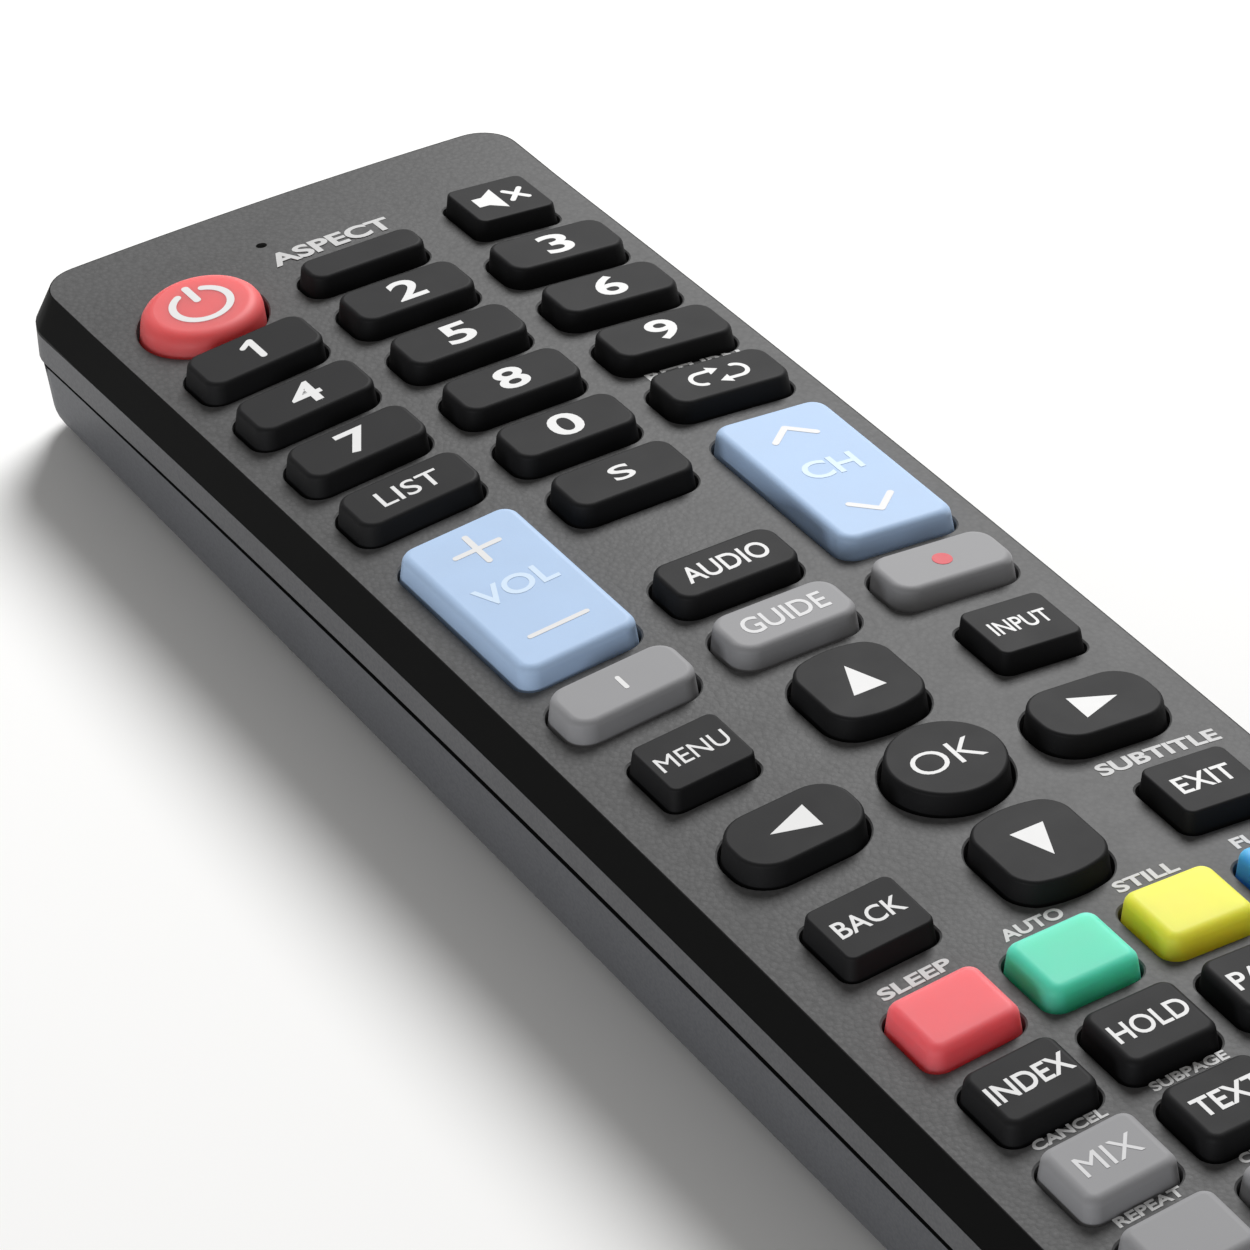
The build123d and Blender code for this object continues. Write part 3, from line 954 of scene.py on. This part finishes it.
def build_lower():
    """The lower half with its shadow groove, whose faces are painted black as painted shade, the battery cover and
    the window, with smooth curves.
    """
    shell = smooth_copy("lower_case", "lower_shell")
    floor = parting_height - groove_below
    seam = plate("seam", -mm, floor, parting_height + mm)
    cut(seam, plate("seam_core", groove_depth, parting_height - 2 * mm, parting_height + 2 * mm))
    slice_up(seam, across=False)
    cut(shell, bend(seam, case_length))
    dress(shell, shell_grey, "case", "shell_grey", "lower_case")
    # Painted shade: the groove's faces take the black frame's material, so that the groove reads dark as if in deep
    # shade
    shell.data.materials.append(frame_black)
    for face in shell.data.polygons:
        face.material_index = int(face.center.z > floor - hair + arch(face.center.y))
    dress(smooth_copy("battery_cover", "sliding_cover"), shell_grey, "battery_cover", "shell_grey", "battery_cover")
    dress(smooth_copy("infrared_window", "end_window"), window_dark, "case", "window_dark", "infrared_window")


def lay_down(piece, x, y, way):
    """Lays an upright piece along the bay, pointing towards the far end (1) or the near end (-1)."""
    turn = Matrix.Rotation(-way * pi / 2, 4, "X")
    piece.data.transform(Matrix.Translation((x, y, cell_axis)) @ turn)


def aaa_cell(name, x, flat_end, way):
    """One cell that points towards the far or near end: sleeved can, rolled rims and the positive cap."""
    cell = disc(name, cell_radius, cell_can, (0, 0, cell_can / 2))
    with shaping(cell):
        for face_way, recess in ((faces_up, -cell_rim_depth), (faces_down, cell_rim_depth)):
            pick(cell, "FACE", face_way)
            bpy.ops.mesh.inset(thickness=cell_rim_width)
            draw_out(recess)
        more_than_rim = cell_radius**2 / 2
        pick(cell, "FACE", lambda f: faces_up(f) and f.calc_area() > more_than_rim)
        bpy.ops.mesh.inset(thickness=cell_cap_inset)
        draw_out(cell_cap_height)
        for height in (cell_bare_end, cell_can - cell_band_length, cell_can - cell_bare_end):
            slice_at((0, 0, height), (0, 0, 1))
    soften(cell, 0.2 * mm, 3, 50)
    lay_down(cell, x, flat_end, way)
    dress(cell, cell_sleeve, "case", "cell_can", "aaa_cells")
    cell.data.materials.append(cell_band)
    cell.data.materials.append(plated_steel)
    for face in cell.data.polygons:
        along = way * (face.center.y - flat_end)
        bare = along < cell_bare_end or along > cell_can - cell_bare_end
        face.material_index = 2 if bare else int(along > cell_can - cell_band_length)


def contact_spring(name, x, foot, way):
    """A spring that winds from its wide foot on the plate to its narrow end on the cell."""
    line = bpy.data.curves.new(name, "CURVE")
    line.dimensions = "3D"
    line.bevel_depth = spring_wire
    line.bevel_resolution = 3
    line.use_fill_caps = True
    coil = line.splines.new("POLY")
    steps = spring_steps * spring_turns
    coil.points.add(steps)
    for n, point in enumerate(coil.points):
        share = n / steps
        reach = spring_wide + (spring_narrow - spring_wide) * share
        angle = 2 * pi * spring_turns * share
        rise = spring_wire + (spring_length - 2 * spring_wire) * share
        point.co = (reach * cos(angle), reach * sin(angle), rise, 1)
    take(add_object(name, line))
    bpy.ops.object.convert(target="MESH")
    spring = bpy.context.object
    lay_down(spring, x, foot, way)
    dress(spring, plated_steel, "case", "contact_steel", "battery_springs")


def paint(node, material):
    """A better material on a CAD node that keeps its shape."""
    slots = nodes[node].data.materials
    slots.clear()
    slots.append(material)


def build_inside():
    """The cells and their springs, and finishes on what else lies inside the case."""
    aaa_cell("left_cell", -cell_side, far_plate - spring_length, -1)
    aaa_cell("right_cell", cell_side, near_plate + spring_length, 1)
    contact_spring("far_spring", -cell_side, far_plate, -1)
    contact_spring("near_spring", cell_side, near_plate, 1)
    for node, material in (("keypad_web", web_rubber), ("circuit_board", board_green), ("infrared_led", led_tint),
                           ("indicator_lamp", lamp_red), ("contact_plates", plated_steel),
                           ("case_screws", screw_steel)):
        paint(node, material)


def build_stage():
    """A pale table, soft light from behind on the right, and a little from the left."""
    clear_selection()
    bpy.ops.mesh.primitive_plane_add(size=6, location=(0, 0, 0))
    table = bpy.context.object
    table.name = "table"
    finish = Finish("table_white", {"Roughness": 0.85, "Specular IOR Level": 0.1})
    patches = finish.noise(0.4, 2.0)
    finish.set("Base Color", finish.mix(patches, (0.945, 0.945, 0.94), (0.965, 0.965, 0.96)))
    table.data.materials.append(finish.material)
    # Lamps: name, place, size, power in watts, colour
    lamps = (
        ("key_light", (0.55, 0.62, 0.73), 0.46, 13.9, (1, 1, 1)),
        ("fill_light", (-1.1, -0.6, 0.16), 0.3, 5.2, (0.95, 0.97, 1)),
    )
    for name, place, size, power, colour in lamps:
        lamp = bpy.data.lights.new(name, "AREA")
        lamp.color = colour
        lamp.shape = "DISK"
        lamp.size = size
        lamp.energy = power
        holder = add_object(name, lamp)
        holder.location = place
        holder.rotation_euler = (-Vector(place)).to_track_quat("-Z", "Y").to_euler()
    world = bpy.data.worlds.new("studio")
    world.use_nodes = True
    background = world.node_tree.nodes["Background"]
    background.inputs["Color"].default_value = (1, 0.98, 0.95, 1)
    background.inputs["Strength"].default_value = 0.255
    bpy.context.scene.world = world
    bpy.context.scene.view_settings.view_transform = "Standard"


def build_camera():
    """The photograph's viewpoint, as fitted to the keys' places in it."""
    lens = bpy.data.cameras.new("camera")
    lens.lens = 174.8
    lens.sensor_width = 36
    lens.clip_start = 0.01
    camera = add_object("camera", lens)
    right = Vector((0.85601, -0.51518, -0.04289))
    up = Vector((0.32709, 0.47549, 0.81665))
    back = Vector((-0.40033, -0.71309, 0.57553))
    turn = Matrix((right, up, back)).transposed().to_4x4()
    place = (-0.20346, -0.31254, 0.29625)
    camera.matrix_world = Matrix.Translation(place) @ turn
    bpy.context.scene.camera = camera


build_face()
build_keys()
build_lower()
build_inside()
build_stage()
build_camera()
clear_selection()
